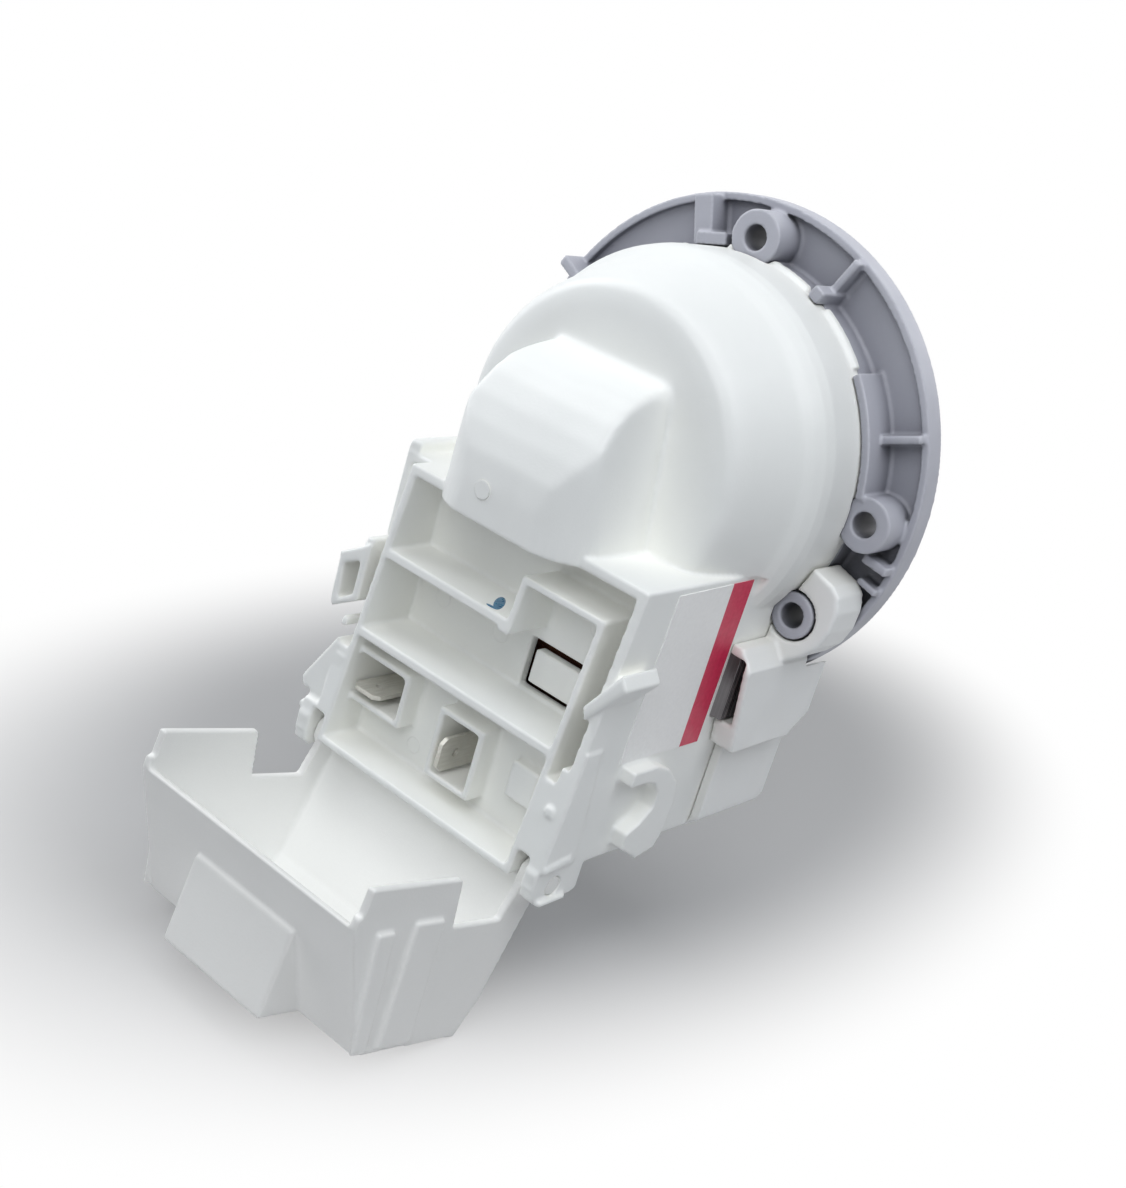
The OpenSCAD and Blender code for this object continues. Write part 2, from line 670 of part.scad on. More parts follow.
// White moulding: drum round the motor, hood over the rear bearing and the box with the terminal bays
ear_in = box_half_w - 2.8;
module motor_housing() {
    color([0.93, 0.94, 0.94])
    difference() {
        union() {
            difference() {
                union() {
                    difference() {
                        turned(drum_points(0, drum_front - press_gap));
                        side_cut(0);
                    }
                    hood(0);
                    along_x(-box_half_w, box_half_w) box_side();
                    block([-box_half_w, 2.5 - box_half_w], [3.4 - rim_depth, -30], [top_z - 1, top_z + 2.2]);
                    along_x(box_half_w - small, box_half_w + 0.4)
                        polygon([[rim_y(-39), -39], [-49.4, -39], [-47.5, bay_under + 3.5], [rim_y(bay_under + 3.5), bay_under + 3.5]]);
                }
                difference() {
                    turned(drum_points(wall, 0));
                    side_cut(wall);
                }
                hood(wall);
                block([-inner_box_w, inner_box_w], [floor_front, 0], [front_bottom + 1.2, top_z - wall]);
                block([-inner_box_w, inner_box_w], [floor_front, box_front - wall], [bottom_z + wall, top_z - wall]);
                block([-inner_box_w, inner_box_w], [-through, floor_rear], [shelf_z_low, hood_bottom]);
                block([-bay_out, bay_out], [-through, low_floor_rear], [bay_under - small, shelf_z_low + small]);
                block([-bay_half_w, bay_half_w], [low_floor_front, floor_front + small], [bottom_z + wall, shelf_z_low]);
                block([-slot_in - small, slot_in + small], [-through, step_y - 1], [-through, bay_under]);
                block([-through, -slot_out], [-through, step_y], [-58, top_z - 16]);
                block([-through, -bay_out], [-through, rim_y(top_z) + 4.6], [top_z - 16.1, top_z]);
            }
            intersection() {
                along_y(floor_rear - 20, floor_rear + small) bay_walls();
                along_x(-through, through) box_side();
            }
            collars(collar_wall, collar_rear, floor_front);
            block([bay_half_w - 8.6, bay_half_w - 2.6], [low_floor_rear - 2.4, low_floor_rear + small], [-55.6, -49]);
            left_fittings();
            right_fittings();
            intersection() {
                union() {
                    for (a = hole_angles) on_circle(a) scallop(a == 90 ? boss_r : tube_r, a == 90 ? boss_face : tube_face, scallop_t);
                    for (a = spare_angles) on_circle(a) scallop(boss_r, boss_face, scallop_t);
                }
                turned(drum_points(0, drum_front - press_gap));
            }
            for (a = [[83.75, 29.5], [126.25, 25.5], [51.5, 19]])
                along_y(drum_front - 1.6, drum_front - press_gap) sector(drum_r - 0.5, drum_r + 0.7, a[0], a[1]);
            for (s = [-1, 1]) scale_x(s) {
                hinge_ear();
                hook();
            }
        }
        collars(0, -through, floor_rear);
        for (a = hole_angles) on_circle(a) scallop(a == 90 ? boss_r : tube_r, a == 90 ? boss_face : tube_face, 0);
        for (a = spare_angles) on_circle(a) scallop(boss_r, boss_face, 0);
        for (s = [-1, 1]) scale_x(s) {
            block([slot_in, slot_out], [-through, floor_rear - small], [shelf_z_low - 3, recess_z + 4.6]);
            block([slot_in, ear_in], [-through, step_y - 1], [-through, hinge_z + 5]);
            block([box_half_w - 3, box_half_w + 3], [-19, -12.4], [-38.5, -26]);
            rod_x(pin_r + run_gap, ear_in - 1, box_half_w + 1, hinge_y, hinge_z);
        }
        tab_blank(flat_x, flat_z, tab_w + 2 * slip_gap, tab_t + 2 * slip_gap, floor_rear - small, floor_front + small);
        tab_blank(upright_x, upright_z, tab_t + 2 * slip_gap, tab_w + 2 * slip_gap, floor_rear - small, floor_front + small);
        along_y(floor_rear - small, floor_front + small) tongue_slot();
    }
}

// Flared wing and rectangular loop at the left of the rear rim
module left_fittings() {
    along_y(rim_y(-50), rim_y(-50) + 1.6)
        polygon([[small - bay_out, -47.6], [-slot_out, -47.6], [-slot_out, -44.6], [-2.8 - box_half_w, -55.4],
                 [-2 - box_half_w, -57.2], [small - bay_out, -56.6]]);
    along_y(rim_y(-50) + 1.5, step_y + 0.1)
        polygon([[-slot_out, -47], [-slot_out, -44.6], [-2.8 - slot_out, -49.2], [-1.6 - slot_out, -50.2]]);
    along_y(rim_y(-32), step_y + 0.1) difference() {
        polygon([[-3 - box_half_w, -31.6], [-slot_out, -27.6], [-slot_out, -38.2], [-2 - box_half_w, -41.6], [-2.6 - box_half_w, -41]]);
        polygon([[-1.6 - box_half_w, -33.2], [-1.4 - slot_out, -31.2], [-1.4 - slot_out, -37.6], [-1.2 - box_half_w, -39.8]]);
    }
}

// Latch finger and stop bars at the right of the rear rim
module right_fittings() {
    along_y(rim_y(-28) - 1.6, step_y) polygon([[slot_out + 0.1, -32.2], [slot_out + 1, -34.2], [box_half_w + 3.6, -26.2], [box_half_w + 2, -24]]);
    rod_y(0.9, rim_y(-50) - 0.7, rim_y(-50) + 2, slot_out + 1, -50.4);
}

// Ear that carries a hinge pin, with a stop bar over and under it
module hinge_ear() {
    along_x(ear_in, box_half_w)
        polygon([[step_y + 0.5, hinge_z + 8], [hinge_y - 3, hinge_z + 8], [hinge_y - 5.4, hinge_z + 3],
                 [hinge_y - 5, hinge_z - 1.6], [hinge_y - 3.4, hinge_z - 2.8], [hinge_y + 5.4, hinge_z - 2.8],
                 [step_y + 0.5, hinge_z - 2.2]]);
    along_x(box_half_w - small, box_half_w + 0.9) {
        polygon([[hinge_y - 4.8, hinge_z + 3.6], [hinge_y + 1.6, hinge_z + 4.4], [hinge_y + 1.6, hinge_z + 5.6], [hinge_y - 4.8, hinge_z + 4.8]]);
        polygon([[hinge_y - 3.6, hinge_z - 2.8], [hinge_y + 3.2, hinge_z - 2.8], [hinge_y + 3.2, hinge_z - 1.9], [hinge_y - 3.6, hinge_z - 1.9]]);
    }
}

// Children mirrored in X when the sign is negative
module scale_x(s) {
    if (s > 0) children();
    else mirror([1, 0, 0]) children();
}

// Room round a screw boss, with a wall round it
module scallop(r, face, t) {
    rod_y(r + slip_gap + t, face - slip_gap - t, drum_front + (t > 0 ? -press_gap : 1));
}

// C-shaped slot round the flexible tongue in the bay floor
module tongue_slot() {
    difference() {
        translate([4.4, -41]) square([11.6, 9.2]);
        translate([6.1, -39.6]) square([12, 6.1]);
    }
}

// Cable hook on the side wall
module hook() {
    along_x(box_half_w - small, box_half_w + 3)
        polygon([[-42, -43.4], [-35.6, -43.4], [-31.4, -44.8], [-28.2, -47.6], [-26.8, -51.6], [-27, -57],
                 [-28.6, -60.6], [-33.4, -61.6], [-38.2, -58.8], [-38.6, -55.8], [-35.4, -54.2], [-33, -51.8],
                 [-33, -48.8], [-34.8, -46.8], [-38, -46], [-42, -46]]);
}

// Paper rating sticker without print
module rating_sticker() {
    color([0.95, 0.95, 0.95]) along_x(box_half_w, box_half_w + 0.15)
        polygon([[-43, -43], [-41.4, -12.9], [-20, -12.4], [-20.6, -43]]);
}

// White front moulding: tray outside the box, with a round seat for the ring and two lugs
flank_out = box_half_w + 5;
low_out = box_half_w + 2;
shell_in = box_half_w + slip_gap;
seat_r = ring_r + 0.6;
seat_y = -0.6;
seat_t = 1.8;
lip_y = plate_front + 0.6;
lip_front = lip_y + seat_t;
shell_bottom = front_bottom - slip_gap - 1.6;
module front_shell() {
    color([0.94, 0.95, 0.95])
    difference() {
        union() {
            intersection() {
                along_y(-30, lip_front) for (s = [-1, 1])
                    polygon([[s * 20, -24.4], [s * (flank_out - 2.6), -24.4], [s * flank_out, -27.6], [s * flank_out, -43.6], [s * 20, -43.6]]);
                along_x(-through, through)
                    polygon([[-19.8, -22], [lip_front, -22], [lip_front, -39.6], [2, -43.6], [-16.6, -43.6], [-19.8, -28]]);
            }
            intersection() {
                along_y(-14, lip_front)
                    polygon([[-low_out, -40], [-low_out, shell_bottom + 2.5], [2.5 - low_out, shell_bottom], [low_out - 2.5, shell_bottom],
                             [low_out, shell_bottom + 2.5], [low_out, -40]]);
                along_x(-through, through)
                    polygon([[-14, -30], [lip_front, -30], [lip_front, shell_bottom + 3.4], [lip_front - 4, shell_bottom], [-14, shell_bottom]]);
            }
            along_y(seat_y - seat_t, lip_front) translate([2 - box_half_w, -50]) square([2 * box_half_w - 4, 28]);
            along_y(lug_rear, lug_front) for (s = [-1, 1])
                polygon([[s * (box_half_w - 3), -20], [s * 29.2, -8.8], [s * 30.4, -8.5], [s * 38, -10.8], [s * 39.6, -12.2], [s * 40.4, -15],
                         [s * 40.2, -18.6], [s * 39, -22], [s * 36.8, -24.6], [s * 33.8, -27], [s * (box_half_w - 3), -27]]);
        }
        block([-shell_in, shell_in], [-through, seat_y - seat_t], [shell_bottom + 1.6, through]);
        difference() {
            block([-shell_in, shell_in], [seat_y - seat_t - small, lip_y], [shell_bottom + 1.6, through]);
            rod_y(seat_r + 1.4, -through, through);
        }
        rod_y(seat_r, seat_y, through);
        rod_y(drum_r + 0.4, -through, through);
        for (s = [-1, 1]) scale_x(s) {
            block([shell_in - small, flank_out - 1.3], [-through, seat_y], [-38.8, -26.2]);
            on_circle(330) rod_y(tube_r + 0.4, -through, through);
        }
    }
}

// Hinged cover over the terminals, drawn in place as it stands open
module in_cover() {
    translate([0, hinge_y, hinge_z]) rotate([180 - open_tilt, 0, 0]) children();
}

function cover_profile(d) = [[cover_len - d, -0.6 - 10 * d], [cover_len - d, 6], [cover_len - 12.5 - d, cover_depth - 0.3 - d],
    [3.6 + d, cover_depth + 0.5 - d], [0.8 + d, cover_depth - 6.1], [d - 1.6, 8.9], [d - 2.8, 2.2], [d - 2.8, -0.6 - 10 * d]];

module terminal_cover() {
    color([0.93, 0.94, 0.92])
    in_cover() difference() {
        union() {
            difference() {
                union() {
                    along_x(-cover_out, cover_out) polygon(cover_profile(0));
                    block([-11, 12.5], [cover_len - 18, cover_len - 3.5], [14.5, cover_depth - 0.2]);
                    for (s = [-1, 1]) scale_x(s) along_x(cover_out - small, cover_out + 0.8) {
                        polygon([[20.8, 6], [27.6, 6], [24.4, cover_depth - 1], [16.4, cover_depth - 1]]);
                        polygon([[32.2, 7], [36.2, 7], [30.6, cover_depth - 1], [27, cover_depth - 1]]);
                    }
                }
                along_x(cover_wall - cover_out, cover_out - cover_wall) polygon(cover_profile(cover_wall));
                block([cover_wall - 11, 12.5 - cover_wall], [cover_len - 20, cover_len - 3.5 - cover_wall],
                      [14.5 + cover_wall, cover_depth - 0.2 - cover_wall]);
                along_x(-through, through) polygon([[-10, -20], [19.6, -20], [19.6, -0.6], [17, 8.2], [4.6, 8.2], [2.4, 2.2], [-10, 2.2]]);
                block([cover_wall - cover_out, cover_out - cover_wall], [3, through], [-through, 6]);
                block([-through, through], [cover_len - 0.9, through], [-through, 4]);
            }
            for (s = [-1, 1]) scale_x(s) {
                along_x(cover_out - cover_wall, cover_out)
                    polygon(concat([[-2.6, 3], [-1.6, 9], [4.6, 9], [4.6, 8.2]], arc(0, 0, arm_r, 30, -200)));
                rod_x(arm_r, cover_out - cover_wall, ear_in - 0.2);
                rod_x(pin_r, cover_out - cover_wall, pin_out);
            }
        }
    }
}

pump_head();
head_seal();
bearing_carrier();
front_bearing();
front_cup();
rear_bearing();
rear_cup();
rotor_shaft();
rotor_magnet();
rotor_sleeve();
front_washer();
rear_washer();
drive_dog();
impeller();
impeller_cap();
stator_core();
core_bar();
coil_bobbin();
coil_winding();
thermal_cutout();
tab_flat();
tab_upright();
motor_housing();
front_shell();
terminal_cover();
rating_sticker();
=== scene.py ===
import json
import math

import bmesh
import bpy
from mathutils import Matrix, Vector
from mathutils.bvhtree import BVHTree

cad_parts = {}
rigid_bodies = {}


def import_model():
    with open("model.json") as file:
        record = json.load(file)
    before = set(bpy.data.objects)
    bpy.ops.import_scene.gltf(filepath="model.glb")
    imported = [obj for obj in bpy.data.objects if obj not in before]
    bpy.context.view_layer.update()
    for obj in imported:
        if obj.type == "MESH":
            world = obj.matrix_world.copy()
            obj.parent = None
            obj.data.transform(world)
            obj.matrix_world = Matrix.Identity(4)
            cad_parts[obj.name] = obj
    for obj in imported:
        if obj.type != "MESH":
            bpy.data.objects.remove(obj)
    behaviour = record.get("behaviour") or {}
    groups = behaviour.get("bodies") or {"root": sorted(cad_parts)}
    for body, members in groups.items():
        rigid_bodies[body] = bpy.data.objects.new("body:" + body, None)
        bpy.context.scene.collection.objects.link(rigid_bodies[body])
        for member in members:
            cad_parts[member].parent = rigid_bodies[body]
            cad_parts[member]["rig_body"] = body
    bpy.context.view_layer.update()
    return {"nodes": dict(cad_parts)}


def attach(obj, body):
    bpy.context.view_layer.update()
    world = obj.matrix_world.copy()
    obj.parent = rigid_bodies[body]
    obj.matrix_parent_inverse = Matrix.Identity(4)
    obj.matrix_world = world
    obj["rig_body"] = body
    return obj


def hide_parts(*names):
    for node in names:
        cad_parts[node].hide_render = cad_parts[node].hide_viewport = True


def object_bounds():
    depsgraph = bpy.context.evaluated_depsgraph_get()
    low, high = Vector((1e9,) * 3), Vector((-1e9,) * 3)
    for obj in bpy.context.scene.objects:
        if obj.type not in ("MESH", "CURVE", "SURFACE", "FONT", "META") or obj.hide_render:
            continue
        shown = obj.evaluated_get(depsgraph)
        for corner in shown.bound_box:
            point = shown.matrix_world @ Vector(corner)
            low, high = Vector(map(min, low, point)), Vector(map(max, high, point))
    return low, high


for leftover in list(bpy.data.objects):
    bpy.data.objects.remove(leftover)
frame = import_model()


# Grey pump head
# One injection moulding in a grey glass-filled polypropylene: the ring with its screw bosses, ribs and
# clip walls, and the deep cup that seals the rotor from the motor. Its skin is dull, with a fine spark grain.
weld = 2e-6  # corners of a CAD mesh that lie nearer than this are one
hold_full, hold_none = 0.00005, 0.00013  # a skin this near the CAD surface goes back on it fully, or not at all


def merged(mesh):
    """A bmesh of a CAD node's mesh, with its loose triangles joined."""
    shape = bmesh.new()
    shape.from_mesh(mesh)
    bmesh.ops.remove_doubles(shape, verts=shape.verts, dist=weld)
    return shape


def shown(name, mesh):
    """A new piece in the scene, made of that mesh."""
    piece = bpy.data.objects.new(name, mesh)
    bpy.context.scene.collection.objects.link(piece)
    return piece


def settle(piece):
    """Keeps what the piece's modifiers have made of it, and nothing else of them."""
    made = bpy.data.meshes.new_from_object(piece.evaluated_get(bpy.context.evaluated_depsgraph_get()))
    piece.modifiers.clear()
    piece.data = made


def smoothing(piece, name, passes):
    """A modifier that evens the piece out in that many passes."""
    ease = piece.modifiers.new(name, "SMOOTH")
    ease.factor = 0.5
    ease.iterations = passes
    return ease


def cast_skin(node, grid, triangles, soft_place=None, soft_passes=0, tilt=0.0):
    """A copy of a CAD node as one skin with the small round edges of a moulding, softer still in one place.

    The skin is made on a cubic grid, turned by the tilt to run along the piece's own walls.
    """
    mesh = frame["nodes"][node].data.copy()
    shape = merged(mesh)
    true_faces = BVHTree.FromBMesh(shape)
    bmesh.ops.rotate(shape, cent=(0, 0, 0), matrix=Matrix.Rotation(-tilt, 3, "X"), verts=shape.verts)
    shape.to_mesh(mesh)
    shape.free()
    piece = shown(node + "_part", mesh)
    skin = piece.modifiers.new("skin", "REMESH")
    skin.mode = "VOXEL"
    skin.voxel_size = grid
    settle(piece)
    if soft_place:
        group = piece.vertex_groups.new(name="soft")
        for vert in piece.data.vertices:
            softness = soft_place(vert.co)
            if softness > 0.02:
                group.add([vert.index], softness, "REPLACE")
        smoothing(piece, "ease", soft_passes).vertex_group = "soft"
    smoothing(piece, "calm", 4)
    settle(piece)
    thin = piece.modifiers.new("thin", "DECIMATE")
    thin.ratio = min(1.0, triangles / sum(len(f.vertices) - 2 for f in piece.data.polygons))
    settle(piece)
    piece.data.transform(Matrix.Rotation(tilt, 4, "X"))
    for vert in piece.data.vertices:
        spot, _, _, off = true_faces.find_nearest(vert.co)
        hold = min(1.0, max(0.0, (hold_none - off) / (hold_none - hold_full)))
        if soft_place:
            hold *= 1.0 - soft_place(vert.co)
        vert.co = vert.co.lerp(spot, hold)
    piece.vertex_groups.clear()
    piece.data.shade_smooth()
    piece.data.set_sharp_from_angle(angle=math.radians(62))
    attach(piece, frame["nodes"][node]["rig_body"])
    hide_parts(node)
    return piece


def blank_finish(name):
    """An empty material with its shader and the piece's own coordinates."""
    finish = bpy.data.materials.new(name)
    finish.use_nodes = True
    tree = finish.node_tree
    shader = next(n for n in tree.nodes if n.type == "BSDF_PRINCIPLED")
    place = tree.nodes.new("ShaderNodeTexCoord").outputs["Object"]
    return finish, tree, shader, place


def cloud(tree, place, scale, detail=3.0, stretch=None):
    """Noise over the piece, as a number from 0 to 1."""
    if stretch:
        turn = tree.nodes.new("ShaderNodeMapping")
        turn.inputs["Scale"].default_value = stretch
        tree.links.new(place, turn.inputs["Vector"])
        place = turn.outputs["Vector"]
    noise = tree.nodes.new("ShaderNodeTexNoise")
    noise.inputs["Scale"].default_value = scale
    noise.inputs["Detail"].default_value = detail
    noise.inputs["Roughness"].default_value = 0.55
    tree.links.new(place, noise.inputs["Vector"])
    return noise.outputs["Fac"]


def span(tree, value, low, high, to_low=0.0, to_high=1.0):
    """The value from low to high, spread from to_low to to_high."""
    ramp = tree.nodes.new("ShaderNodeMapRange")
    ramp.inputs["From Min"].default_value = low
    ramp.inputs["From Max"].default_value = high
    ramp.inputs["To Min"].default_value = to_low
    ramp.inputs["To Max"].default_value = to_high
    tree.links.new(value, ramp.inputs["Value"])
    return ramp.outputs["Result"]


def tint(tree, amount, first, second):
    """A colour between two, by an amount from 0 to 1. Each may be three numbers or another colour's output."""
    mix = tree.nodes.new("ShaderNodeMix")
    mix.data_type = "RGBA"
    for socket, colour in ((mix.inputs[6], first), (mix.inputs[7], second)):
        if isinstance(colour, tuple):
            socket.default_value = (*colour, 1.0)
        else:
            tree.links.new(colour, socket)
    tree.links.new(amount, mix.inputs[0])
    return mix.outputs[2]


def mottle(tree, place, scale, first, second, detail=3.0, low=0.3, high=0.7):
    """Two colours in soft patches."""
    return tint(tree, span(tree, cloud(tree, place, scale, detail), low, high), first, second)


def raised(tree, height, depth, strength=1.0, over=None):
    """A bump of that depth in metres, on top of another one."""
    bump = tree.nodes.new("ShaderNodeBump")
    bump.inputs["Strength"].default_value = strength
    bump.inputs["Distance"].default_value = depth
    tree.links.new(height, bump.inputs["Height"])
    if over is not None:
        tree.links.new(over, bump.inputs["Normal"])
    return bump.outputs["Normal"]


def rounded_normal(tree, radius):
    """The surface's direction, with its edges rounded to that radius."""
    soft = tree.nodes.new("ShaderNodeBevel")
    soft.samples = 4
    soft.inputs["Radius"].default_value = radius
    return soft.outputs["Normal"]


def moulded_plastic(name, pale, deep, grain, grain_depth, dull, sheen, wave_depth, painted_recess_tone=None, edge=None,
                    recess_reach=0.016, painted_gap_shade=None):
    """Moulded plastic: mottled colour, spark grain, slow sink waves, a painted tone in hollows, and painted
    edge highlights.
    """
    finish, tree, shader, place = blank_finish(name)
    colour = mottle(tree, place, 42.0, pale, deep, 4.0)
    specks = span(tree, cloud(tree, place, 1900.0, 2.0), 0.62, 0.78, 0.0, 0.35)
    colour = tint(tree, specks, colour, deep)
    # A painted tone in hollows, by ambient occlusion: painted shade where that tone is darker, painted light
    # where it is paler.
    if painted_recess_tone:
        around = tree.nodes.new("ShaderNodeAmbientOcclusion")
        around.samples = 6
        around.inputs["Distance"].default_value = recess_reach
        openness = around.outputs["AO"]
        colour = tint(tree, span(tree, openness, 0.25, 0.95, 1.0, 0.0), colour, painted_recess_tone)
        # Painted shade, near black, in the narrowest gaps.
        if painted_gap_shade:
            colour = tint(tree, span(tree, openness, 0.05, 0.32, 1.0, 0.0), colour, painted_gap_shade)
    # Painted highlight: edges are lightened where the rounded normal leaves the face's own normal.
    if edge:
        own = tree.nodes.new("ShaderNodeNewGeometry")
        apart = tree.nodes.new("ShaderNodeVectorMath")
        apart.operation = "DISTANCE"
        tree.links.new(rounded_normal(tree, 0.0005), apart.inputs[0])
        tree.links.new(own.outputs["Normal"], apart.inputs[1])
        edge_highlight = span(tree, apart.outputs["Value"], 0.10, 0.55, 0.0, 0.55)
        colour = tint(tree, edge_highlight, colour, edge)
    tree.links.new(colour, shader.inputs["Base Color"])
    rough = span(tree, cloud(tree, place, 160.0, 3.0), 0.3, 0.7, sheen, dull)
    tree.links.new(rough, shader.inputs["Roughness"])
    waves = raised(tree, cloud(tree, place, 95.0, 1.0), wave_depth, 1.0, rounded_normal(tree, 0.0004))
    sparks = raised(tree, cloud(tree, place, grain, 2.0), grain_depth, 0.9, waves)
    tree.links.new(sparks, shader.inputs["Normal"])
    return finish


def wear(piece, finish):
    """Puts one finish on the whole piece."""
    piece.data.materials.clear()
    piece.data.materials.append(finish)


# Painted shade darkens its hollows, near black in the narrowest gaps, and a painted highlight lightens its
# edges.
wear(cast_skin("pump_head", grid=0.00030, triangles=190000),
     moulded_plastic("head_grey_plastic", pale=(0.495, 0.507, 0.572), deep=(0.44, 0.451, 0.512),
                     grain=2600.0, grain_depth=0.000022, dull=0.56, sheen=0.44, wave_depth=0.00010,
                     painted_recess_tone=(0.27, 0.275, 0.32), edge=(0.58, 0.59, 0.64), painted_gap_shade=(0.03, 0.031, 0.036)))


# White motor housing
# The largest moulding, in white flame-resistant plastic: drum, hood over the rear bearing and the box with
# its open bays. It is thin and slightly milky. Its bays and hollows are painted a paler, creamier white as
# painted light, against the cooler white on top, and a painted highlight lightens its edges.
soft_from_z, soft_rise = -0.0108, 0.002
soft_from_y, soft_run = -0.017, 0.005
crease_y = -0.0352  # the flat shoulder of the drum, which the hood's sides meet
crease_top_x, crease_top_z, crease_lean = 0.0130, 0.0134, 0.151
crease_reach, crease_fade = 0.0020, 0.0012
crease_end_z, crease_end_fade = 0.0130, 0.004


def share(value):
    """The value, held between 0 and 1."""
    return max(0.0, min(1.0, value))


def side_crease(at):
    """How near a place is to the crease where the hood's flat side meets the drum, from 0 to 1."""
    crease_x = crease_top_x + crease_lean * (crease_top_z - at.z)
    off = math.hypot(abs(at.x) - crease_x, at.y - crease_y)
    return share((crease_reach - off) / crease_fade) * share((crease_end_z - at.z) / crease_end_fade)


def hood_and_drum(at):
    """How much a place belongs to the soft domed forms behind the ring, from 0 to 1."""
    above = share((at.z - soft_from_z) / soft_rise)
    behind = share((soft_from_y - at.y) / soft_run)
    return above * behind * (1.0 - side_crease(at))


housing = cast_skin("motor_housing", grid=0.00034, triangles=190000, soft_place=hood_and_drum, soft_passes=42)
housing_white = moulded_plastic("housing_white_plastic", pale=(0.795, 0.82, 0.825), deep=(0.76, 0.785, 0.79),
                                grain=2300.0, grain_depth=0.000016, dull=0.46, sheen=0.32, wave_depth=0.00022,
                                painted_recess_tone=(0.93, 0.935, 0.90), edge=(0.86, 0.87, 0.87))
wear(housing, housing_white)


# Marks that the mould leaves on the white housing
# Ejector pins leave faint round steps on the bay floors, and the sprue leaves a small broken pip in a shallow
# dish on the hood. Each is pressed a few hundredths of a millimetre out of the wall.
skin = bmesh.new()
skin.from_mesh(housing.data)
skin_tree = BVHTree.FromBMesh(skin)
behind_pump = -0.09
mark_root = 0.0007


def corners(grown):
    """The vertices among what a bmesh operator has made."""
    return [v for v in grown["geom"] if isinstance(v, bmesh.types.BMVert)]


def pressed_mark(name, x, z, radius, step, pip=0.0):
    """A round mark on the first wall met from behind: a ring step, and a pip in its middle if it has one."""
    met, normal, _, _ = skin_tree.ray_cast(Vector((x, behind_pump, z)), Vector((0, 1, 0)))
    shape = bmesh.new()
    bmesh.ops.create_circle(shape, cap_ends=True, radius=radius, segments=36,
                            matrix=Matrix.Translation((0, 0, step)))
    bmesh.ops.inset_region(shape, faces=list(shape.faces), thickness=radius * 0.16, depth=-step * 0.7)
    if pip:
        core = [f for f in shape.faces if len(f.verts) > 4]
        bmesh.ops.inset_region(shape, faces=core, thickness=radius * 0.5, depth=0)
        core = [f for f in shape.faces if len(f.verts) > 4]
        top = corners(bmesh.ops.extrude_face_region(shape, geom=core))
        bmesh.ops.translate(shape, vec=(0, 0, pip), verts=top)
    low = corners(bmesh.ops.extrude_edge_only(shape, edges=[e for e in shape.edges if e.is_boundary]))
    bmesh.ops.translate(shape, vec=(0, 0, -mark_root), verts=low)
    bmesh.ops.scale(shape, vec=(1.05, 1.05, 1), verts=low)
    bmesh.ops.recalc_face_normals(shape, faces=shape.faces)
    facing = normal.to_track_quat("Z", "Y").to_matrix().to_4x4()
    bmesh.ops.transform(shape, matrix=Matrix.Translation(met) @ facing, verts=shape.verts)
    for face in shape.faces:
        face.smooth = True
    mesh = bpy.data.meshes.new(name)
    shape.to_mesh(mesh)
    shape.free()
    mesh.set_sharp_from_angle(angle=math.radians(40))
    piece = shown(name, mesh)
    wear(piece, housing_white)
    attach(piece, "housing")


pressed_mark("sprue_mark", x=-0.0034, z=-0.0078, radius=0.0016, step=0.00005, pip=0.00022)
pressed_mark("ejector_mark_1", x=0.0165, z=-0.0250, radius=0.0015, step=0.00006)
pressed_mark("ejector_mark_2", x=-0.0160, z=-0.0345, radius=0.0017, step=0.00006)
pressed_mark("ejector_mark_3", x=-0.0020, z=-0.0345, radius=0.0017, step=0.00006)
pressed_mark("ejector_mark_4", x=-0.0090, z=-0.0590, radius=0.0015, step=0.00006)


# Blue tick of the end-of-line test
# After the running test the worker leaves a short tick of blue ink beside the upper bay. The ink has dried
# as two thin glossy strokes.
above_ledge = -0.02
ink_height = 0.00012
ink_sag = 0.0002  # how far a stroke follows the ledge's round edge down

ink, tree, shader, place = blank_finish("blue_ink")
tree.links.new(mottle(tree, place, 900.0, (0.03, 0.13, 0.26), (0.06, 0.22, 0.36), 2.0, 0.35, 0.65),
               shader.inputs["Base Color"])
tree.links.new(span(tree, cloud(tree, place, 1500.0), 0.3, 0.7, 0.22, 0.40), shader.inputs["Roughness"])
tree.links.new(raised(tree, cloud(tree, place, 2200.0), 0.00002, 0.8), shader.inputs["Normal"])


def height_under(x, y):
    """The height of the housing under a place over the ledge."""
    return skin_tree.ray_cast(Vector((x, y, above_ledge)), Vector((0, 0, -1)))[0].z


def ink_stroke(name, start, end, width):
    """A dried stroke between two places in XY, laid on the ledge below them."""
    first, second = Vector((*start, 0)), Vector((*end, 0))
    run, middle = second - first, (first + second) / 2
    shape = bmesh.new()
    bmesh.ops.create_uvsphere(shape, u_segments=32, v_segments=12, radius=1.0)
    bmesh.ops.scale(shape, vec=(run.length / 2, width / 2, ink_height), verts=shape.verts)
    bmesh.ops.rotate(shape, cent=(0, 0, 0), matrix=Matrix.Rotation(math.atan2(run.y, run.x), 3, "Z"),
                     verts=shape.verts)
    bmesh.ops.translate(shape, vec=middle, verts=shape.verts)
    ledge = height_under(middle.x, middle.y)
    for vert in shape.verts:
        vert.co.z += max(height_under(vert.co.x, vert.co.y), ledge - ink_sag)
    for face in shape.faces:
        face.smooth = True
    mesh = bpy.data.meshes.new(name)
    shape.to_mesh(mesh)
    shape.free()
    piece = shown(name, mesh)
    wear(piece, ink)
    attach(piece, "housing")


ink_stroke("ink_tick_short", start=(0.0001, -0.0506), end=(0.0024, -0.0505), width=0.0008)
ink_stroke("ink_tick_long", start=(0.0023, -0.0506), end=(-0.0010, -0.0452), width=0.0018)


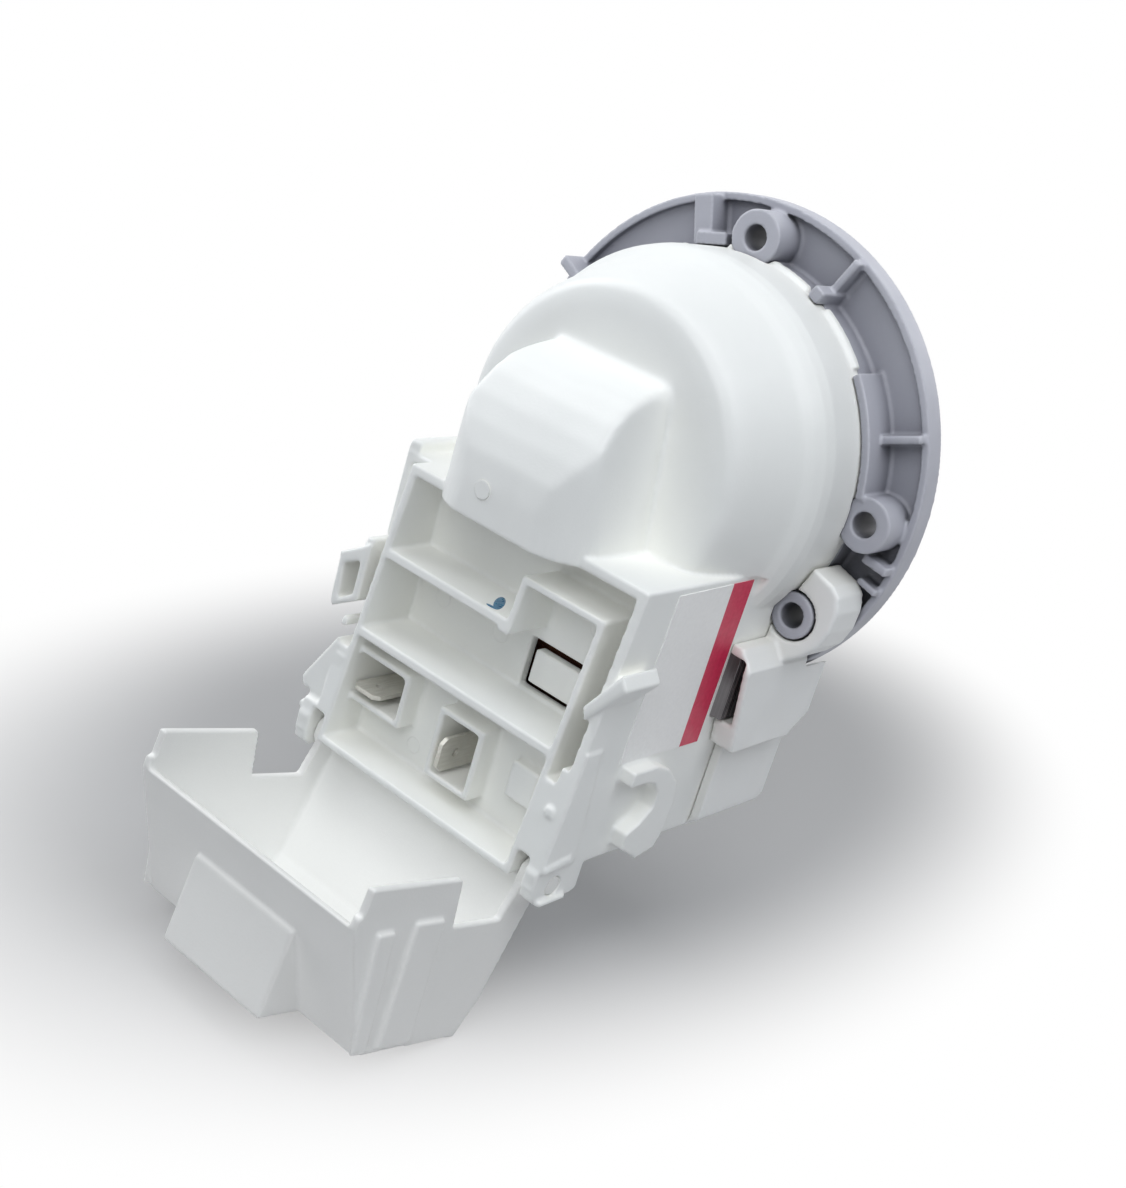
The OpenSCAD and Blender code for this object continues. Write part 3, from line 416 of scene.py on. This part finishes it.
# White front shell
# A second white moulding clips over the box from the front. It carries the two lugs for the lower screws
# and leaves a window at each side, where the edges of the motor's laminations show.
# Painted shade darkens its hollows, and a painted highlight lightens its edges.
wear(cast_skin("front_shell", grid=0.0004, triangles=120000),
     moulded_plastic("shell_white_plastic", pale=(0.80, 0.825, 0.84), deep=(0.77, 0.79, 0.80),
                     grain=2300.0, grain_depth=0.000016, dull=0.48, sheen=0.34, wave_depth=0.00018,
                     painted_recess_tone=(0.74, 0.74, 0.71), edge=(0.86, 0.87, 0.87)))


# White terminal cover
# The cover hangs open on its two pins. It is the thinnest white moulding, with a deep pocket for the plugs
# and stiffening bands outside. Its pocket and hollows are painted paler as painted light, and a painted
# highlight lightens its edges.
cover_tilt = math.radians(-10.84)
wear(cast_skin("terminal_cover", grid=0.00034, triangles=150000, tilt=cover_tilt),
     moulded_plastic("cover_white_plastic", pale=(0.735, 0.75, 0.75), deep=(0.70, 0.715, 0.715),
                     grain=2100.0, grain_depth=0.000018, dull=0.44, sheen=0.30, wave_depth=0.00022,
                     painted_recess_tone=(0.96, 0.965, 0.955), edge=(0.83, 0.84, 0.83), recess_reach=0.045))


# Tin-plated tabs
# Two 6.3 mm tabs stamped from brass strip and plated with tin. The rolled grain runs along the blade, and
# the shear left a brighter edge.
def softened(node, radius, segments=2):
    """A merged copy of a CAD node whose sharp edges are rounded as a mould's or a tool's edges are."""
    mesh = frame["nodes"][node].data.copy()
    shape = merged(mesh)
    bmesh.ops.dissolve_degenerate(shape, edges=shape.edges, dist=weld)
    bmesh.ops.join_triangles(shape, faces=shape.faces, angle_face_threshold=math.radians(0.6),
                             angle_shape_threshold=math.radians(60))
    if radius > 0:
        sharp = [e for e in shape.edges if len(e.link_faces) == 2
                 and e.calc_face_angle(0) > math.radians(26) and e.calc_length() > 2.2 * radius]
        bmesh.ops.bevel(shape, geom=sharp, offset=radius, offset_type="OFFSET", segments=segments, profile=0.5,
                        affect="EDGES", material=-1, clamp_overlap=False, loop_slide=True, harden_normals=False)
    for face in shape.faces:
        face.smooth = True
    shape.to_mesh(mesh)
    shape.free()
    mesh.set_sharp_from_angle(angle=math.radians(38))
    piece = shown(node + "_part", mesh)
    weigh = piece.modifiers.new("even_faces", "WEIGHTED_NORMAL")
    weigh.keep_sharp = True
    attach(piece, frame["nodes"][node]["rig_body"])
    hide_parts(node)
    return piece


def rolled_metal(name, light, dark, low, high, run, scratch_depth, metal=1.0):
    """Metal strip or bar with grain drawn out along one direction, between a low and a high roughness."""
    finish, tree, shader, place = blank_finish(name)
    shader.inputs["Metallic"].default_value = metal
    grain = cloud(tree, place, 700.0, 3.0, run)
    stain = span(tree, cloud(tree, place, 260.0, 3.0), 0.35, 0.72)
    colour = tint(tree, span(tree, grain, 0.3, 0.7), light, dark)
    tree.links.new(tint(tree, stain, colour, dark), shader.inputs["Base Color"])
    tree.links.new(span(tree, grain, 0.3, 0.7, low, high), shader.inputs["Roughness"])
    scratches = cloud(tree, place, 2600.0, 2.0, run)
    tree.links.new(raised(tree, scratches, scratch_depth, 0.8), shader.inputs["Normal"])
    return finish


tin = rolled_metal("tinned_brass", light=(0.75, 0.745, 0.70), dark=(0.61, 0.60, 0.55), low=0.42, high=0.60,
                   run=(4.0, 0.35, 4.0), scratch_depth=0.00001, metal=0.5)
for node in ("tab_flat", "tab_upright"):
    wear(softened(node, radius=0.00006, segments=1), tin)


# Lamination stack
# The stator is a pile of sheet-steel punchings, pressed together and lightly oiled. Its edge shows each
# sheet as a fine line. A few sheets stand a little prouder, and their glints are painted on as paler bars,
# with paler steps across them as painted highlight too.
def bands(tree, place, direction, scale, distortion=0.0, detail=2.0, phase=0.0):
    """Even bands across one direction, as a number from 0 to 1."""
    wave = tree.nodes.new("ShaderNodeTexWave")
    wave.wave_type = "BANDS"
    wave.bands_direction = direction
    wave.inputs["Scale"].default_value = scale
    wave.inputs["Distortion"].default_value = distortion
    wave.inputs["Detail"].default_value = detail
    wave.inputs["Phase Offset"].default_value = phase
    tree.links.new(place, wave.inputs["Vector"])
    return wave.outputs["Fac"]


steel_glint = (0.24, 0.23, 0.24)
stack, tree, shader, place = blank_finish("lamination_edges")
shader.inputs["Metallic"].default_value = 0.85
sheets = bands(tree, place, "Y", 628.0, distortion=0.4, detail=1.0)
bars = bands(tree, place, "Y", 196.0, phase=1.0)
steps = bands(tree, place, "X", 430.0)
oiled = mottle(tree, place, 300.0, (0.14, 0.132, 0.14), (0.08, 0.075, 0.08), 4.0, 0.35, 0.7)
lined = tint(tree, span(tree, sheets, 0.15, 0.6, 0.8, 0.0), oiled, (0.03, 0.03, 0.032))
# Painted highlight: paler bars and steps stand for glints off proud sheets.
barred = tint(tree, span(tree, bars, 0.55, 0.75, 0.0, 0.8), lined, steel_glint)
stepped = tint(tree, span(tree, steps, 0.70, 0.85, 0.0, 0.8), barred, steel_glint)
tree.links.new(stepped, shader.inputs["Base Color"])
tree.links.new(span(tree, sheets, 0.1, 0.9, 0.55, 0.32), shader.inputs["Roughness"])
tree.links.new(raised(tree, sheets, 0.00008, 0.9), shader.inputs["Normal"])
for node in ("stator_core", "core_bar"):
    wear(softened(node, radius=0.0), stack)


# Coil
# Enamelled copper wire lies in even turns round a two-flanged bobbin of ivory glass-filled polyester, whose
# end block holds the tabs. The varnish leaves the wire reddish brown and glossy. Its brown is painted darker
# still as painted shade, and the grooves between its turns are painted near black as shade.
wound, tree, shader, place = blank_finish("enamelled_wire")
shader.inputs["Metallic"].default_value = 0.7
turns = bands(tree, place, "X", 950.0, distortion=0.8)
# The varnish's brown, painted darker as shade so that the winding reads near black where it shows.
brown = mottle(tree, place, 180.0, (0.15, 0.046, 0.02), (0.09, 0.027, 0.013), 3.0, 0.35, 0.7)
# Painted shade in the grooves between turns.
painted_shade_between_turns = span(tree, turns, 0.05, 0.5, 0.75, 0.0)
tree.links.new(tint(tree, painted_shade_between_turns, brown, (0.03, 0.009, 0.006)), shader.inputs["Base Color"])
tree.links.new(span(tree, turns, 0.1, 0.9, 0.45, 0.25), shader.inputs["Roughness"])
tree.links.new(raised(tree, turns, 0.00012, 1.0), shader.inputs["Normal"])
wear(softened("coil_winding", radius=0.0003), wound)

# Its lighter edge colour is a painted highlight.
ivory = moulded_plastic("ivory_polyester", pale=(0.56, 0.53, 0.43), deep=(0.47, 0.44, 0.35),
                        grain=2400.0, grain_depth=0.00003, dull=0.55, sheen=0.40, wave_depth=0.0001,
                        edge=(0.66, 0.63, 0.54))
wear(softened("coil_bobbin", radius=0.0002), ivory)


# Thermal cut-out
# A small bimetal switch in an ivory case, laid on the coil. It opens the circuit when a blocked rotor heats
# the winding.
wear(softened("thermal_cutout", radius=0.0003), ivory)


# Rotor set
# A ferrite magnet sits on a ground steel shaft inside a moulded sleeve, with the impeller's dog and two thrust
# washers of the same ivory plastic. The shaft runs in two sintered bearings, each held in a rubber cup, and
# the front one sits in a dark plastic carrier.
for node in ("rotor_sleeve", "drive_dog", "front_washer", "rear_washer"):
    wear(softened(node, radius=0.00015), ivory)
wear(softened("rotor_shaft", radius=0.00025),
     rolled_metal("ground_steel", light=(0.62, 0.62, 0.63), dark=(0.46, 0.46, 0.48), low=0.16, high=0.32,
                  run=(5.0, 0.6, 5.0), scratch_depth=0.000004))
# The ferrite's and the polyamide's lighter edge colours are painted highlights.
wear(softened("rotor_magnet", radius=0.0004),
     moulded_plastic("sintered_ferrite", pale=(0.050, 0.050, 0.054), deep=(0.030, 0.030, 0.034),
                     grain=1900.0, grain_depth=0.00004, dull=0.72, sheen=0.5, wave_depth=0.00008,
                     edge=(0.10, 0.10, 0.11)))
sintered = rolled_metal("sintered_bearing", light=(0.60, 0.57, 0.50), dark=(0.44, 0.41, 0.35),
                        low=0.42, high=0.62, run=(1.0, 1.0, 1.0), scratch_depth=0.00002, metal=0.6)
for node in ("front_bearing", "rear_bearing"):
    wear(softened(node, radius=0.0002), sintered)
wear(softened("bearing_carrier", radius=0.0003),
     moulded_plastic("dark_polyamide", pale=(0.15, 0.16, 0.18), deep=(0.12, 0.125, 0.145),
                     grain=2400.0, grain_depth=0.00003, dull=0.55, sheen=0.38, wave_depth=0.0001,
                     edge=(0.22, 0.225, 0.24)))


# Rubber parts
# The bearing cups and the face seal are black nitrile rubber, pressed in a hot mould: matt and slightly dusty.
# Painted shade darkens their hollows a little, and a painted highlight lightens their edges.
nitrile = moulded_plastic("nitrile_rubber", pale=(0.020, 0.020, 0.022), deep=(0.034, 0.034, 0.036),
                          grain=1700.0, grain_depth=0.00003, dull=0.82, sheen=0.62, wave_depth=0.00012,
                          painted_recess_tone=(0.012, 0.012, 0.013), edge=(0.055, 0.055, 0.06))
for node in ("front_cup", "rear_cup", "head_seal"):
    wear(softened(node, radius=0.0002), nitrile)


# Impeller
# A six-bladed wheel in pale talc-filled polypropylene with a cap welded on its hub. It turns about half a turn
# freely on its dog before the rotor drives it. Painted shade darkens its hollows, and a painted highlight
# lightens its edges.
wheel_pale = moulded_plastic("impeller_plastic_lit_edges", pale=(0.64, 0.66, 0.68), deep=(0.57, 0.59, 0.61),
                             grain=2200.0, grain_depth=0.000035, dull=0.52, sheen=0.36, wave_depth=0.00016,
                             painted_recess_tone=(0.42, 0.44, 0.45), edge=(0.74, 0.76, 0.77))
for node in ("impeller", "impeller_cap"):
    wear(softened(node, radius=0.00026), wheel_pale)


# Rating sticker
# A white coated paper sticker on the right side of the box, with a plain red band along its front edge. Its
# coating is smooth, and the paper under it lies in very slight waves.
band_from, band_to = -0.02615, -0.02605  # the edge of the red ink, between white and full red

paper, tree, shader, place = blank_finish("coated_paper")
along = tree.nodes.new("ShaderNodeSeparateXYZ")
tree.links.new(place, along.inputs["Vector"])
fibre = mottle(tree, place, 1400.0, (0.83, 0.84, 0.85), (0.87, 0.88, 0.89), 4.0)
red = mottle(tree, place, 1200.0, (0.50, 0.012, 0.060), (0.58, 0.024, 0.085), 3.0)
tree.links.new(tint(tree, span(tree, along.outputs["Y"], band_from, band_to), fibre, red),
               shader.inputs["Base Color"])
tree.links.new(span(tree, cloud(tree, place, 500.0), 0.3, 0.7, 0.36, 0.52), shader.inputs["Roughness"])
fine = raised(tree, cloud(tree, place, 3000.0, 2.0), 0.000006, 0.6)
tree.links.new(raised(tree, cloud(tree, place, 260.0, 2.0), 0.00006, 0.6, fine), shader.inputs["Normal"])
wear(softened("rating_sticker", radius=0.0), paper)


# Studio
# A white floor with a painted shadow round the pump, and air with soft light from above. The camera stands
# where the photograph was taken from, behind the pump at its right, and leans to the left.
def node_of(tree, kind, operation=None):
    """A new node in a tree, doing that operation if it has one."""
    node = tree.nodes.new("ShaderNode" + kind)
    if operation:
        node.operation = operation
    return node


def mixed(tree, amount, first, second):
    """A shader between two, by an amount from 0 to 1."""
    mix = node_of(tree, "MixShader")
    for socket, source in zip(mix.inputs, (amount, first, second)):
        tree.links.new(source, socket)
    return mix.outputs[0]


def seen_or_mirrored(tree):
    """Whether a ray is seen by the camera, straight, off a glossy surface or through a clear one."""
    way = node_of(tree, "LightPath")
    seen = way.outputs["Is Camera Ray"]
    for kind in ("Is Glossy Ray", "Is Transmission Ray"):
        either = node_of(tree, "Math", "MAXIMUM")
        tree.links.new(seen, either.inputs[0])
        tree.links.new(way.outputs[kind], either.inputs[1])
        seen = either.outputs[0]
    return seen


def floor_paint(across, along, painted_shadow_grey, lift):
    """Floor paint: a painted shadow, a grey ellipse round the pump on which its own shadow also falls, running
    out to plain white.
    """
    finish = bpy.data.materials.new("floor_paint")
    finish.use_nodes = True
    tree = finish.node_tree
    tree.nodes.clear()
    squeeze = node_of(tree, "VectorMath", "MULTIPLY")
    squeeze.inputs[1].default_value = (1 / across, 1 / along, 0)
    tree.links.new(node_of(tree, "TexCoord").outputs["Object"], squeeze.inputs[0])
    reach = node_of(tree, "VectorMath", "LENGTH")
    tree.links.new(squeeze.outputs["Vector"], reach.inputs[0])
    away = span(tree, reach.outputs["Value"], 0.50, 1.0)
    away.node.interpolation_type = "SMOOTHSTEP"
    # Painted shadow: the floor near the pump is painted grey.
    matt = node_of(tree, "BsdfDiffuse")
    matt.inputs["Color"].default_value = (*painted_shadow_grey, 1)
    glow = node_of(tree, "Emission")
    glow.inputs["Color"].default_value = (lift, lift, lift * 1.01, 1)
    near = node_of(tree, "AddShader")
    tree.links.new(matt.outputs[0], near.inputs[0])
    tree.links.new(glow.outputs[0], near.inputs[1])
    white = node_of(tree, "Emission")
    plain = node_of(tree, "BsdfDiffuse")
    plain.inputs["Color"].default_value = (0.55, 0.55, 0.56, 1)
    painted = mixed(tree, away, near.outputs[0], white.outputs[0])
    tree.links.new(mixed(tree, seen_or_mirrored(tree), plain.outputs[0], painted),
                   node_of(tree, "OutputMaterial").inputs["Surface"])
    return finish


low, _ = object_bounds()
sheet = bmesh.new()
bmesh.ops.create_grid(sheet, x_segments=1, y_segments=1, size=3.0)
ground = bpy.data.meshes.new("studio_floor")
sheet.to_mesh(ground)
sheet.free()
floor = shown("studio_floor", ground)
floor.location = (-0.035, 0.04, low.z - 0.0004)
floor.data.materials.append(floor_paint(across=0.106, along=0.20, painted_shadow_grey=(0.41, 0.415, 0.425), lift=0.05))

world = bpy.data.worlds.new("studio_air")
bpy.context.scene.world = world
world.use_nodes = True
air = world.node_tree
dim = next(n for n in air.nodes if n.type == "BACKGROUND")
dim.inputs["Color"].default_value = (0.92, 0.965, 1.0, 1)
dim.inputs["Strength"].default_value = 0.06
clean = node_of(air, "Background")
clean.inputs["Color"].default_value = (1, 1, 1, 1)
clean.inputs["Strength"].default_value = 1.0
air.links.new(mixed(air, seen_or_mirrored(air), dim.outputs[0], clean.outputs[0]),
              next(n for n in air.nodes if n.type == "OUTPUT_WORLD").inputs["Surface"])

pump_middle = Vector((0, -0.02, -0.03))
lamp_size = 0.40
warm, cool = (1.0, 0.995, 0.985), (0.97, 0.985, 1.0)
for name, at, power, colour in (
        ("overhead_softbox", (0.05, -0.10, 0.58), 0.85, warm),
        ("upper_left_softbox", (-0.38, -0.12, 0.42), 0.85, warm),
        ("upper_right_softbox", (0.36, -0.05, 0.44), 1.41, cool),
        ("camera_softbox", (0.12, -0.48, 0.36), 1.41, cool),
        ("low_left_softbox", (-0.54, -0.12, 0.16), 1.41, cool),
        ("back_softbox", (0.10, 0.50, 0.34), 0.56, cool)):
    lamp = bpy.data.lights.new(name, "AREA")
    lamp.size = lamp_size
    lamp.energy = power
    lamp.color = colour
    stand = shown(name, lamp)
    stand.location = at
    stand.rotation_mode = "QUATERNION"
    stand.rotation_quaternion = (Vector(at) - pump_middle).to_track_quat("Z", "Y")

lens = bpy.data.cameras.new("photo_camera")
lens.sensor_width = 36.0
lens.lens = 51.45
lens.clip_start, lens.clip_end = 0.01, 20.0
camera = shown("photo_camera", lens)
camera.matrix_world = Matrix((
    (0.7358155, -0.4236182, 0.5283210, 0.1554159),
    (0.6195936, 0.1063149, -0.7776895, -0.2586986),
    (0.2732750, 0.8995803, 0.3406993, 0.0726746),
    (0, 0, 0, 1)))
bpy.context.scene.camera = camera
bpy.context.scene.view_settings.view_transform = "Standard"
